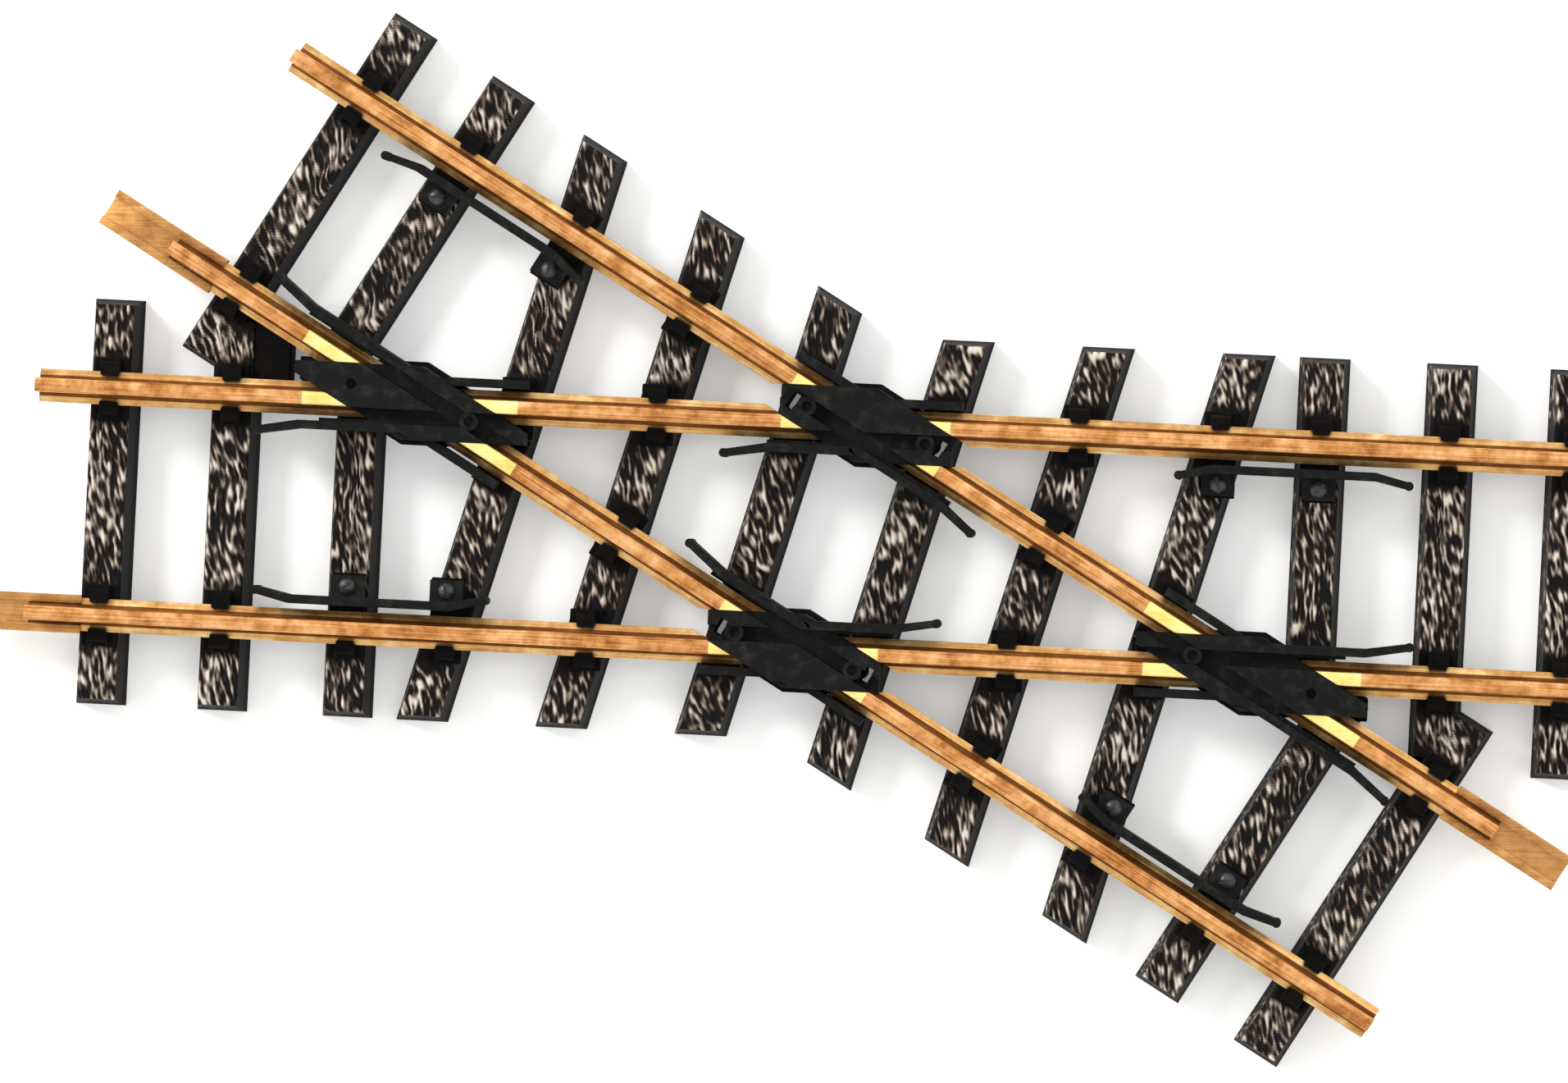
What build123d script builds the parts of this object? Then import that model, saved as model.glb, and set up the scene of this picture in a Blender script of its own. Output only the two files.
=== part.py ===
"""A fixed 30 degree track crossing for 45 mm gauge model railways: a bed of wood-grained plastic
ties carries twelve lengths of brass rail, four plastic frogs, four check rails, four rail joiners
and the strips beneath that carry current past the frogs.

The origin is the centre of the crossing, on the underside of the ties. X runs along track a, which
is the longer one, Z is up, and track b crosses from upper left to lower right. Apart from one
plain block between two left-hand ties, the object looks the same after half a turn about Z, so most
right-hand pieces are left-hand pieces turned through 180 degrees.
"""

import os
from math import cos, radians, sin, tan

from build123d import *

os.makedirs("parts", exist_ok=True)

# Track geometry, in millimetres and degrees.
gauge = 45.0
crossing_angle = 30.0
track_a_length = 338.0
track_b_length = 300.0
flangeway = 3.2
flange_depth = 3.4

# Rail section.
rail_height = 8.4
head_width = 3.0
head_edge_depth = 2.2
head_corner = 0.4
web_width = 1.2
foot_width = 7.0
foot_edge = 0.8
foot_root = 1.7

# Ties.
tie_height = 9.0
tie_width = 10.7
tie_half_length = 43.0
tie_draft = 8.0
tie_wall = 2.0
tie_top_wall = 3.0
tie_pad = 1.0
tie_a_outer = 154.2
tie_a_middle = 128.3
tie_a_inner = 101.5
tie_b_outer = 133.4
tie_b_inner = 108.7
cross_tie_pitch = 28.6
shared_end = 41.0
inner_end = 31.0
tie_block_right = -116.3
tie_block_low = 27.3
tie_block_high = 41.0
tie_block_height = 8.0
web_bar_width = 3.4
web_bar_bottom = 1.0
web_bar_top = 5.0
plate_bottom = 5.0

# Rail chairs, moulded on the ties.
chair_length = 5.0
chair_out = 6.2
chair_in = 2.8
chair_slot = 1.2
chair_height = 2.5
pad_length = 7.0
pad_width = 13.0

# Frogs and check rails.
core_half_height = 7.8
acute_half_length = 24.5
obtuse_half_length = 18.2
blade = 1.8
wall_gap = 0.5
acute_wall = 24.5
obtuse_wall = 20.0
acute_guard = {"a": 33.5, "b": 38.5}
obtuse_guard = {"a": 30.5, "b": 31.5}
acute_floor = {"a": 19.4, "b": 28.4}
obtuse_floor = {"a": 20.8, "b": 23.5}
web_hole = (1.6, 3.6)
web_hole_place = (-15.6, 4.3)
flare_length = 8.0
flare_out = 2.6
frog_screw_place = 14.0
frog_screw_depth = 4.0
check_centre = {"a": 96.3, "b": -98.0}
check_half_length = 25.0
check_lug_length = 7.0
check_lug_width = 4.6
check_lug_height = 3.0

# Rail joiners, contact strips and screws.
joiner_sheet = 0.5
joiner_outside = 16.4
joiner_inside = 11.2
joiner_lip = 2.3
joiner_rise = 1.25
strip_width = 2.4
strip_sheet = 0.5
strip_tab = 4.0
strip_reach = 27.0
strip_drop = {"a": 1.1, "b": 2.5}
channel_width = 3.6
channel_depth = 3.2
channel_reach = 29.0
small_screw_radius = 0.7
small_screw_head = 1.4
small_screw_head_height = 0.9
tap_depth = 1.5
screw_radius = 1.0
screw_head_radius = 1.8
screw_head_height = 1.2

fit = 0.05  # the gap left round a piece where another one holds it

# Worked out from the above.
rail_offset = (gauge + head_width) / 2
seat = tie_height + tie_pad
rail_top = seat + rail_height
deck = rail_top - flange_depth
guard_face = head_width / 2 + flangeway
strip_hole = strip_reach - strip_tab / 2
half_angle = crossing_angle / 2
track_angle = {"a": 0.0, "b": crossing_angle}
other = {"a": "b", "b": "a"}
rail_end = {"a": track_a_length / 2, "b": track_b_length / 2}
side_offset = {"upper": rail_offset, "lower": -rail_offset}


def along(angle):
    """The horizontal direction this many degrees clockwise from X, as seen from above."""
    return Vector(cos(radians(angle)), -sin(radians(angle)), 0)


def level(height, angle=0.0, centre=(0, 0)):
    """A horizontal plane whose x axis runs at this angle, centred on a point of the ground plan."""
    return Plane(origin=(centre[0], centre[1], height), x_dir=along(angle), z_dir=(0, 0, 1))


def across(track, distance, centre):
    """The upright plane square to a track, this far along it. Its x axis points to the track's left."""
    start = Vector(centre[0], centre[1], seat) + along(track_angle[track]) * distance
    return Plane(origin=start, x_dir=along(track_angle[track] - 90), z_dir=along(track_angle[track]))


def ground(track, distance, offset):
    """The plan position this far along a track, and this far to the left of its centre line."""
    place = along(track_angle[track]) * distance + along(track_angle[track] - 90) * offset
    return (place.X, place.Y)


def frog_distance(track, side, other_side):
    """How far along a track one of its rails meets a rail of the other track."""
    turn = radians(crossing_angle)
    own, far = side_offset[side], side_offset[other_side]
    if track == "a":
        return (far - own * cos(turn)) / sin(turn)
    return (own * cos(turn) - far) / sin(turn)


acute_centre = ground("a", frog_distance("a", "upper", "lower"), rail_offset)
obtuse_centre = ground("a", frog_distance("a", "upper", "upper"), rail_offset)
acute_place = frog_distance("a", "upper", "lower")
obtuse_place = frog_distance("a", "upper", "upper")


def save(shape, name):
    shape.label = name
    export_step(shape, f"parts/{name}.step")


def half_turn(shape, name):
    """Saves the same piece again on the far side of the crossing."""
    with BuildPart() as copy:
        add(shape.rotate(Axis.Z, 180))
    save(copy.part, name)


def outline(points):
    """A closed face through these points, in the current sketch."""
    Polygon(*points, align=None)


# Rails --------------------------------------------------------------------------------------------


def rail_section():
    """The foot, the web and the head, standing on the sketch's x axis. Half is drawn and mirrored."""
    foot, web, head = foot_width / 2, web_width / 2, head_width / 2
    head_low = rail_height - head_edge_depth
    outline(
        [
            (0, 0),
            (foot, 0),
            (foot, foot_edge),
            (web, foot_root),
            (web, head_low - (head - web) / 2),
            (head, head_low),
            (head, rail_height),
            (0, rail_height),
        ]
    )
    fillet(vertices().group_by(Axis.Y)[-1].sort_by(Axis.X)[-1], head_corner)
    mirror(about=Plane.YZ)


def mitre(track, centre, ahead):
    """The upright plane beside a frog, parallel to the crossing rail. It faces the rail that is kept."""
    facing = along(track_angle[other[track]] - 90)
    if facing.dot(along(track_angle[track])) < 0:
        facing = -facing
    if not ahead:
        facing = -facing
    start = Vector(centre[0], centre[1], 0) + facing * (core_half_height + fit)
    return Plane(origin=start, z_dir=facing)


def rail(track, side, start, end, frog_before=None, frog_after=None):
    """A length of rail between two places, mitred and drilled from beneath beside each frog it meets."""
    with BuildPart() as bar:
        with BuildSketch(across(track, start, ground(track, 0, side_offset[side]))):
            rail_section()
        extrude(amount=end - start)
        for centre, ahead in ((frog_before, True), (frog_after, False)):
            if centre is None:
                continue
            split(bisect_by=mitre(track, centre, ahead), keep=Keep.TOP)
            hole = Vector(*centre, seat) + along(track_angle[track]) * strip_hole * (1 if ahead else -1)
            with Locations(hole):
                Cylinder(
                    small_screw_radius,
                    tap_depth,
                    align=(Align.CENTER, Align.CENTER, Align.MIN),
                    mode=Mode.SUBTRACT,
                )
    return bar.part


# Track a runs past the left acute frog, then the upper obtuse one. Track b runs past the upper obtuse
# one, then the right acute one, which is the left one turned round.
opposite_acute = (-acute_centre[0], -acute_centre[1])
rail_a_left = rail("a", "upper", -rail_end["a"], acute_place, None, acute_centre)
rail_a_middle = rail("a", "upper", acute_place, obtuse_place, acute_centre, obtuse_centre)
rail_a_right = rail("a", "upper", obtuse_place, rail_end["a"], obtuse_centre, None)
save(rail_a_left, "rail_a_upper_left")
save(rail_a_middle, "rail_a_upper_middle")
save(rail_a_right, "rail_a_upper_right")
half_turn(rail_a_left, "rail_a_lower_right")
half_turn(rail_a_middle, "rail_a_lower_middle")
half_turn(rail_a_right, "rail_a_lower_left")

rail_b_left = rail("b", "upper", -rail_end["b"], -obtuse_place, None, obtuse_centre)
rail_b_middle = rail("b", "upper", -obtuse_place, -acute_place, obtuse_centre, opposite_acute)
rail_b_right = rail("b", "upper", -acute_place, rail_end["b"], opposite_acute, None)
save(rail_b_left, "rail_b_upper_left")
save(rail_b_middle, "rail_b_upper_middle")
save(rail_b_right, "rail_b_upper_right")
half_turn(rail_b_left, "rail_b_lower_right")
half_turn(rail_b_middle, "rail_b_lower_middle")
half_turn(rail_b_right, "rail_b_lower_left")


# Frogs --------------------------------------------------------------------------------------------


def blade_plan(track, centre, start, end, near, far, side, flare=0.0):
    """The plan of an upright blade beside a rail, near to far from its middle, its outer end flared."""
    way = 1 if end > start else -1
    bend = end - way * flare_length
    with BuildSketch(level(seat, track_angle[track], centre)) as plan:
        points = [(start, side * near)]
        if flare:
            points += [(bend, side * near), (end, side * (near + flare))]
            points += [(end, side * (far + flare)), (bend, side * far)]
        else:
            points += [(end, side * near), (end, side * far)]
        points += [(start, side * far)]
        outline(points)
    return plan.sketch


def web_holes(centre):
    """The plan of the two small slots that leave a thin web at each end of an obtuse frog."""
    with BuildSketch(level(0, 0, centre)) as plan:
        with Locations(web_hole_place, (-web_hole_place[0], -web_hole_place[1])):
            Rectangle(*web_hole, rotation=-crossing_angle)
    return plan.sketch


def frog(centre, half_length, guards, walls, flange_side, wall_reach):
    """The core fills the space between the four mitred rail ends. Guards stand a flangeway away from
    the rails, on the side where wheel flanges run, with a floor part of the way out. Walls stand close
    behind the rails, and a groove for flanges crosses the core both ways."""
    wall_near = foot_width / 2 + wall_gap
    lean = core_half_height / sin(radians(crossing_angle))
    slant = core_half_height / tan(radians(crossing_angle))
    with BuildPart() as body:
        with BuildSketch(level(seat, 0, centre)):
            outline(
                [
                    (-lean - slant, core_half_height),
                    (lean - slant, core_half_height),
                    (lean + slant, -core_half_height),
                    (slant - lean, -core_half_height),
                ]
            )
            Rectangle(2 * half_length, 4 * core_half_height, mode=Mode.INTERSECT)
        extrude(amount=rail_height)
        for track, way, reach, floor_reach in guards:
            side, far = flange_side[track], guard_face + blade
            plan = blade_plan(track, centre, 0, way * reach, guard_face, far, side, flare_out)
            extrude(plan, amount=rail_height)
            plan = blade_plan(track, centre, 0, way * floor_reach, wall_near, far, side)
            extrude(plan, amount=rail_height - flange_depth)
        for track, way in walls:
            side, far = -flange_side[track], wall_near + blade
            plan = blade_plan(track, centre, 0, way * wall_reach, wall_near, far, side)
            extrude(plan, amount=rail_height - head_edge_depth)
        for track, side in flange_side.items():
            with BuildSketch(level(deck, track_angle[track], centre)):
                with Locations((0, side * (head_width / 2 + flangeway / 2))):
                    Rectangle(120, flangeway)
            extrude(amount=flange_depth, mode=Mode.SUBTRACT)
        with BuildSketch(level(seat, half_angle, centre)):
            with Locations((-frog_screw_place, 0), (frog_screw_place, 0)):
                Circle(screw_radius)
        extrude(amount=frog_screw_depth, mode=Mode.SUBTRACT)
    return body.part


frog_acute = frog(
    acute_centre,
    acute_half_length,
    guards=[("a", -1, acute_guard["a"], acute_floor["a"]), ("b", -1, acute_guard["b"], acute_floor["b"])],
    walls=[("a", 1), ("b", 1)],
    flange_side={"a": -1, "b": 1},
    wall_reach=acute_wall,
)
save(frog_acute, "frog_acute_left")
half_turn(frog_acute, "frog_acute_right")

frog_obtuse = frog(
    obtuse_centre,
    obtuse_half_length,
    guards=[("a", -1, obtuse_guard["a"], obtuse_floor["a"]), ("b", 1, obtuse_guard["b"], obtuse_floor["b"])],
    walls=[("a", 1), ("b", -1)],
    flange_side={"a": -1, "b": -1},
    wall_reach=obtuse_wall,
)
with BuildPart() as frog_obtuse_webbed:
    add(frog_obtuse)
    extrude(web_holes(obtuse_centre), amount=rail_top, mode=Mode.SUBTRACT)
frog_obtuse = frog_obtuse_webbed.part
save(frog_obtuse, "frog_obtuse_upper")
half_turn(frog_obtuse, "frog_obtuse_lower")


# Check rails, opposite the acute frogs ------------------------------------------------------------


def cross_tie_at(number, track, side):
    """How far along a track one of its rails passes over a leaning tie. Ties are counted from the middle."""
    middle = (abs(number) - 0.5) * cross_tie_pitch * (1 if number > 0 else -1)
    lean = 1 if track == "a" else -1
    return middle / cos(radians(half_angle)) + lean * side_offset[side] * tan(radians(half_angle))


def check_rail(track, lug_places):
    """A blade with both ends flared away from an upper rail, on two lugs that are screwed to the ties."""
    middle = check_centre[track]
    inward = -1
    centre = ground(track, middle, rail_offset)
    with BuildPart() as bar:
        for reach in (-check_half_length, check_half_length):
            plan = blade_plan(track, centre, 0, reach, guard_face, guard_face + blade, inward, flare_out)
            extrude(plan, amount=rail_height)
        with BuildSketch(level(seat, track_angle[track], centre)):
            for place in lug_places:
                with Locations((place - middle, inward * (guard_face + blade + check_lug_width / 2))):
                    Rectangle(check_lug_length, check_lug_width)
        extrude(amount=check_lug_height)
        with BuildSketch(level(seat, track_angle[track], centre)):
            for place in lug_places:
                with Locations((place - middle, inward * (guard_face + blade + check_lug_width / 2))):
                    Circle(screw_radius + fit)
        extrude(amount=check_lug_height, mode=Mode.SUBTRACT)
    return bar.part


check_lugs = {
    "a": [tie_a_inner, cross_tie_at(3, "a", "upper")],
    "b": [-tie_b_inner, cross_tie_at(-3, "b", "upper")],
}
check_a = check_rail("a", check_lugs["a"])
save(check_a, "check_rail_a_right")
half_turn(check_a, "check_rail_a_left")
check_b = check_rail("b", check_lugs["b"])
save(check_b, "check_rail_b_left")
half_turn(check_b, "check_rail_b_right")


# Rail joiners -------------------------------------------------------------------------------------


def joiner(track, side, way):
    """A folded channel of thin brass that grips the rail's foot and waits for the next rail."""
    half = foot_width / 2 + fit
    low, high = -fit - joiner_sheet, joiner_rise + joiner_sheet
    start = way * (rail_end[track] - joiner_inside)
    length = joiner_inside + joiner_outside
    with BuildPart() as clip:
        with BuildSketch(across(track, start, ground(track, 0, side_offset[side]))):
            outline(
                [
                    (0, low),
                    (half + joiner_sheet, low),
                    (half + joiner_sheet, high),
                    (joiner_lip, high),
                    (joiner_lip, joiner_rise),
                    (half, joiner_rise),
                    (half, -fit),
                    (0, -fit),
                ]
            )
            mirror(about=Plane.YZ)
        extrude(amount=way * length)
    return clip.part


joiner_a = joiner("a", "upper", 1)
save(joiner_a, "joiner_a_right")
half_turn(joiner_a, "joiner_a_left")
joiner_b = joiner("b", "upper", 1)
save(joiner_b, "joiner_b_right")
half_turn(joiner_b, "joiner_b_left")


# Contact strips beneath the frogs -----------------------------------------------------------------


def contact_strip(track, centre):
    """A joggled brass strip that joins the rails either side of a frog. A frog's two pass at two depths."""
    drop = strip_drop[track]
    inner = strip_reach - strip_tab
    bend = inner - drop
    side_view = Plane(
        origin=(centre[0], centre[1], seat),
        x_dir=along(track_angle[track]),
        z_dir=along(track_angle[track] + 90),
    )
    with BuildPart() as bar:
        with BuildSketch(side_view):
            outline(
                [
                    (0, -drop),
                    (bend, -drop),
                    (inner, 0),
                    (strip_reach, 0),
                    (strip_reach, -strip_sheet),
                    (inner, -strip_sheet),
                    (bend, -drop - strip_sheet),
                    (0, -drop - strip_sheet),
                ]
            )
            mirror(about=Plane.YZ)
        extrude(amount=strip_width / 2, both=True)
        with BuildSketch(level(seat - strip_sheet, track_angle[track], centre)):
            with Locations((-strip_hole, 0), (strip_hole, 0)):
                Circle(small_screw_radius + fit)
        extrude(amount=strip_sheet, mode=Mode.SUBTRACT)
    return bar.part


for track in ("a", "b"):
    acute_strip = contact_strip(track, acute_centre)
    obtuse_strip = contact_strip(track, obtuse_centre)
    save(acute_strip, f"contact_strip_{track}_acute_left")
    save(obtuse_strip, f"contact_strip_{track}_obtuse_upper")
    half_turn(acute_strip, f"contact_strip_{track}_acute_right")
    half_turn(obtuse_strip, f"contact_strip_{track}_obtuse_lower")


# Screws -------------------------------------------------------------------------------------------


def screw(place, top, radius, length, head_radius, head_height, up):
    """A round-headed screw at a plan position. Its shank runs up or down from the face its head bears on."""
    way = 1 if up else -1
    with BuildPart() as piece:
        with BuildSketch(level(top, 0, place)):
            Circle(radius)
        extrude(amount=way * length)
        with BuildSketch(level(top, 0, place)):
            Circle(head_radius)
        extrude(amount=-way * head_height)
    return piece.part


def every_place(places):
    """These plan positions and the ones half a turn from them."""
    return places + [(-x, -y) for x, y in places]


def beyond(centre, angle, distance):
    """The plan position this far from a point, at this angle."""
    place = Vector(centre[0], centre[1], 0) + along(angle) * distance
    return (place.X, place.Y)


frog_screw_places = every_place(
    [
        beyond(centre, half_angle, distance)
        for centre in (acute_centre, obtuse_centre)
        for distance in (-frog_screw_place, frog_screw_place)
    ]
)
check_screw_offset = rail_offset - guard_face - blade - check_lug_width / 2
check_screw_places = every_place(
    [ground(track, place, check_screw_offset) for track in ("a", "b") for place in check_lugs[track]]
)
strip_screw_places = every_place(
    [
        beyond(centre, track_angle[track], distance)
        for centre in (acute_centre, obtuse_centre)
        for track in ("a", "b")
        for distance in (-strip_hole, strip_hole)
    ]
)

with BuildPart() as frog_screws:
    for spot in frog_screw_places:
        shank = seat - plate_bottom + frog_screw_depth - 0.2
        add(screw(spot, plate_bottom, screw_radius, shank, screw_head_radius, screw_head_height, True))
save(frog_screws.part, "frog_screws")

with BuildPart() as check_rail_screws:
    for spot in check_screw_places:
        shank = check_lug_height + tie_pad + tie_top_wall
        top = seat + check_lug_height
        add(screw(spot, top, screw_radius, shank, screw_head_radius, screw_head_height, False))
save(check_rail_screws.part, "check_rail_screws")

with BuildPart() as contact_screws:
    for spot in strip_screw_places:
        shank = strip_sheet + tap_depth - 0.1
        top = seat - strip_sheet
        add(screw(spot, top, small_screw_radius, shank, small_screw_head, small_screw_head_height, True))
save(contact_screws.part, "contact_strip_screws")


# The tie bed --------------------------------------------------------------------------------------


def meet(angle_1, offset_1, angle_2, offset_2):
    """The point where two lines of the plan cross. Each is given by its angle and its offset to the left."""
    ax, ay = sin(radians(angle_1)), cos(radians(angle_1))
    bx, by = sin(radians(angle_2)), cos(radians(angle_2))
    size = ax * by - ay * bx
    return ((offset_1 * by - ay * offset_2) / size, (ax * offset_2 - offset_1 * bx) / size)


def tie_corners(angle, place, top_end, bottom_end, inset=0.0):
    """The plan of a tie across a line at this angle. Each end is a line: its angle and its offset."""
    left, right = place - tie_width / 2 + inset, place + tie_width / 2 - inset
    top = (top_end[0], top_end[1] - inset)
    bottom = (bottom_end[0], bottom_end[1] + inset)
    square = angle + 90
    return [
        meet(square, left, *bottom),
        meet(square, right, *bottom),
        meet(square, right, *top),
        meet(square, left, *top),
    ]


end = tie_half_length
left_ties = [
    (0, -tie_a_outer, (0, end), (0, -end)),
    (0, -tie_a_middle, (0, shared_end), (0, -end)),
    (0, -tie_a_inner, (0, inner_end), (0, -end)),
    (crossing_angle, -tie_b_outer, (crossing_angle, end), (crossing_angle, -shared_end)),
    (crossing_angle, -tie_b_inner, (crossing_angle, end), (crossing_angle, -inner_end)),
]
for number in (1, 2, 3):
    distance = -(number - 0.5) * cross_tie_pitch
    left_ties.append((half_angle, distance, (crossing_angle, end), (0, -end)))

# Where the upper rails pass over ties, and on which sides of the rail a chair fits. The frogs and the
# check rails take the place of the rest.
both, outer = (-1, 1), (1,)
chair_places = {
    "a": [
        (-tie_a_outer, both),
        (-tie_a_middle, both),
        (cross_tie_at(-2, "a", "upper"), both),
        (cross_tie_at(2, "a", "upper"), both),
        (cross_tie_at(3, "a", "upper"), outer),
        (tie_a_inner, outer),
        (tie_a_middle, both),
        (tie_a_outer, both),
    ],
    "b": [
        (-tie_b_outer, both),
        (-tie_b_inner, outer),
        (cross_tie_at(-3, "b", "upper"), outer),
        (cross_tie_at(-2, "b", "upper"), both),
        (cross_tie_at(2, "b", "upper"), both),
        (tie_b_outer, both),
    ],
}
pads_without_chairs = {
    "a": [cross_tie_at(-3, "a", "upper"), cross_tie_at(-1, "a", "upper"), cross_tie_at(1, "a", "upper")],
    "b": [
        cross_tie_at(-1, "b", "upper"),
        cross_tie_at(1, "b", "upper"),
        cross_tie_at(3, "b", "upper"),
        tie_b_inner,
    ],
}


def chair(track, place, side):
    """A clip on one side of an upper rail, reaching over its foot."""
    near = foot_width / 2 + fit
    with BuildPart() as piece:
        with BuildSketch(across(track, place - chair_length / 2, ground(track, 0, rail_offset))):
            outline(
                [
                    (side * near, -tie_pad - 1),
                    (side * chair_out, -tie_pad - 1),
                    (side * chair_out, chair_height * 0.5),
                    (side * (chair_out - 1), chair_height),
                    (side * chair_in, chair_height),
                    (side * chair_in, chair_slot),
                    (side * near, chair_slot),
                ]
            )
        extrude(amount=chair_length)
    return piece.part


def pad(track, place, offset=rail_offset, width=pad_width):
    """A low block on a tie that an upper rail or a check rail's lug stands on."""
    with BuildPart() as piece:
        with BuildSketch(level(tie_height - 1, track_angle[track])):
            with Locations((place, offset)):
                Rectangle(pad_length, width)
        extrude(amount=tie_pad + 1)
    return piece.part


def web_bar(track, start, stop):
    """A bar under an upper rail that links the ties."""
    with BuildPart() as piece:
        with BuildSketch(level(web_bar_bottom, track_angle[track])):
            with Locations(((start + stop) / 2, rail_offset)):
                Rectangle(stop - start, web_bar_width)
        extrude(amount=web_bar_top - web_bar_bottom)
    return piece.part


def plate(centre, half_length):
    """The thick part of the bed under a frog."""
    grown = core_half_height + 1.0
    lean = grown / sin(radians(crossing_angle))
    slant = grown / tan(radians(crossing_angle))
    with BuildPart() as piece:
        with BuildSketch(level(plate_bottom, 0, centre)):
            outline(
                [
                    (-lean - slant, grown),
                    (lean - slant, grown),
                    (lean + slant, -grown),
                    (slant - lean, -grown),
                ]
            )
            Rectangle(2 * half_length, 4 * grown, mode=Mode.INTERSECT)
        extrude(amount=seat - plate_bottom)
    return piece.part


with BuildPart() as ties:
    for angle, place, top_end, bottom_end in left_ties:
        with BuildSketch():
            outline(tie_corners(angle, place, top_end, bottom_end))
        extrude(amount=tie_height, taper=tie_draft)
    for angle, place, top_end, bottom_end in left_ties:
        with BuildSketch():
            outline(tie_corners(angle, place, top_end, bottom_end, tie_wall))
        extrude(amount=tie_height - tie_top_wall, taper=tie_draft, mode=Mode.SUBTRACT)

with BuildPart() as upper_fittings:
    add(web_bar("a", -tie_a_outer, tie_a_outer))
    add(web_bar("b", -tie_b_outer, tie_b_outer))
    add(plate(acute_centre, acute_half_length))
    add(plate(obtuse_centre, obtuse_half_length))
    for track, places in chair_places.items():
        for place, sides in places:
            add(pad(track, place))
            for side in sides:
                add(chair(track, place, side))
    for track, places in pads_without_chairs.items():
        for place in places:
            add(pad(track, place))
    for track, places in check_lugs.items():
        for place in places:
            add(pad(track, place, check_screw_offset, check_lug_width + 1))

# The plain block fills the corner between the middle tie of track a and the b rail, on the left only.
tie_block_left = tie_width / 2 - tie_a_middle - 1.5
with BuildPart() as tie_block:
    with BuildSketch():
        with Locations(((tie_block_left + tie_block_right) / 2, (tie_block_low + tie_block_high) / 2)):
            Rectangle(tie_block_right - tie_block_left, tie_block_high - tie_block_low)
    extrude(amount=tie_block_height)

with BuildPart() as tie_bed:
    add(ties.part)
    add(tie_block.part)
    add(upper_fittings.part)
    add(ties.part.rotate(Axis.Z, 180))
    add(upper_fittings.part.rotate(Axis.Z, 180))
    for centre in every_place([acute_centre, obtuse_centre]):
        for track in ("a", "b"):
            with BuildSketch(level(seat - channel_depth, track_angle[track], centre)):
                Rectangle(2 * channel_reach, channel_width)
            extrude(amount=channel_depth, mode=Mode.SUBTRACT)
    for centre in every_place([obtuse_centre]):
        extrude(web_holes(centre), amount=seat, mode=Mode.SUBTRACT)
    for spot in frog_screw_places:
        with BuildSketch(level(0, 0, spot)):
            Circle(screw_head_radius + 0.3)
        extrude(amount=plate_bottom, mode=Mode.SUBTRACT)
        with BuildSketch(level(0, 0, spot)):
            Circle(screw_radius + fit)
        extrude(amount=seat, mode=Mode.SUBTRACT)
    for spot in check_screw_places:
        with BuildSketch(level(tie_height - tie_top_wall - 1, 0, spot)):
            Circle(screw_radius + fit)
        extrude(amount=tie_pad + tie_top_wall + 1, mode=Mode.SUBTRACT)
save(tie_bed.part, "tie_bed")
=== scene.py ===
import math
import bmesh
import bpy
from mathutils import Matrix, Vector, noise


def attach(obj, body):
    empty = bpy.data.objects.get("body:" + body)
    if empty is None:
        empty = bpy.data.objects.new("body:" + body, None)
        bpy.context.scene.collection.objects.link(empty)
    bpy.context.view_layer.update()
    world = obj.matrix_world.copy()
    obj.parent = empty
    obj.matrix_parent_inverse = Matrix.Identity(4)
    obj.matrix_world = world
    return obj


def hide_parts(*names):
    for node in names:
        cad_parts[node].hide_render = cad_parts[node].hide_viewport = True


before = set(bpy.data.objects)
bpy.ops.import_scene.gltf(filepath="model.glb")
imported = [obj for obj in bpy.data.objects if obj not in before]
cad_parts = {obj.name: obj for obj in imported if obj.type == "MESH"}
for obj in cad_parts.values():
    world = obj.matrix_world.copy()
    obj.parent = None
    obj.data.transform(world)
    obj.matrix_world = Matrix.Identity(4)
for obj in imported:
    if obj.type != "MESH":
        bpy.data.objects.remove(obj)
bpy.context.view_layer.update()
mm = 0.001

# A diamond crossing: two straight tracks at 30 degrees. Track a runs along X, track b falls to the right.
# Apart from one plain block, the right is the left turned half way round, so most pieces are placed twice.
track = {
    "railOffset": 24.0, "crossingAngle": 30.0,
    "halfLength": {"a": 169.0, "b": 150.0},
    "seat": 10.0, "railTop": 18.4,
    "flangeway": 3.2, "flangeDepth": 3.4, "headHalf": 1.5, "footHalf": 3.5,
    "coreHalf": 7.8, "crossTiePitch": 28.6,
    "tiesA": {"outer": 154.2, "middle": 128.3, "inner": 101.5}, "tiesB": {"outer": 133.4, "inner": 108.7},
}
tiesA, tiesB = track["tiesA"], track["tiesB"]
trackAngle = {"a": 0.0, "b": track["crossingAngle"]}
guardFace = track["headHalf"] + track["flangeway"]


def say(text):
    print("crossing:", text)


# ---- places on the plan, in millimetres
def heading(angle):
    return Vector((math.cos(math.radians(angle)), -math.sin(math.radians(angle)), 0))


def onTrack(line, distance, offset):
    return heading(trackAngle[line]) * distance + heading(trackAngle[line] - 90) * offset


def frogDistance(line, side, otherSide):
    # where a rail of one track meets a rail of the other, measured along the first
    turn = math.radians(track["crossingAngle"])
    own, far = side * track["railOffset"], otherSide * track["railOffset"]
    if line == "a":
        return (far - own * math.cos(turn)) / math.sin(turn)
    return (own * math.cos(turn) - far) / math.sin(turn)


def crossTieAt(number, line):
    # where an upper rail passes over one of the leaning ties, counted from the middle
    middle = (abs(number) - 0.5) * track["crossTiePitch"] * (1 if number > 0 else -1)
    lean = 1 if line == "a" else -1
    half = math.radians(track["crossingAngle"] / 2)
    return middle / math.cos(half) + lean * track["railOffset"] * math.tan(half)


acuteCentre = onTrack("a", frogDistance("a", 1, -1), track["railOffset"])
obtuseCentre = onTrack("a", frogDistance("a", 1, 1), track["railOffset"])


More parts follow.
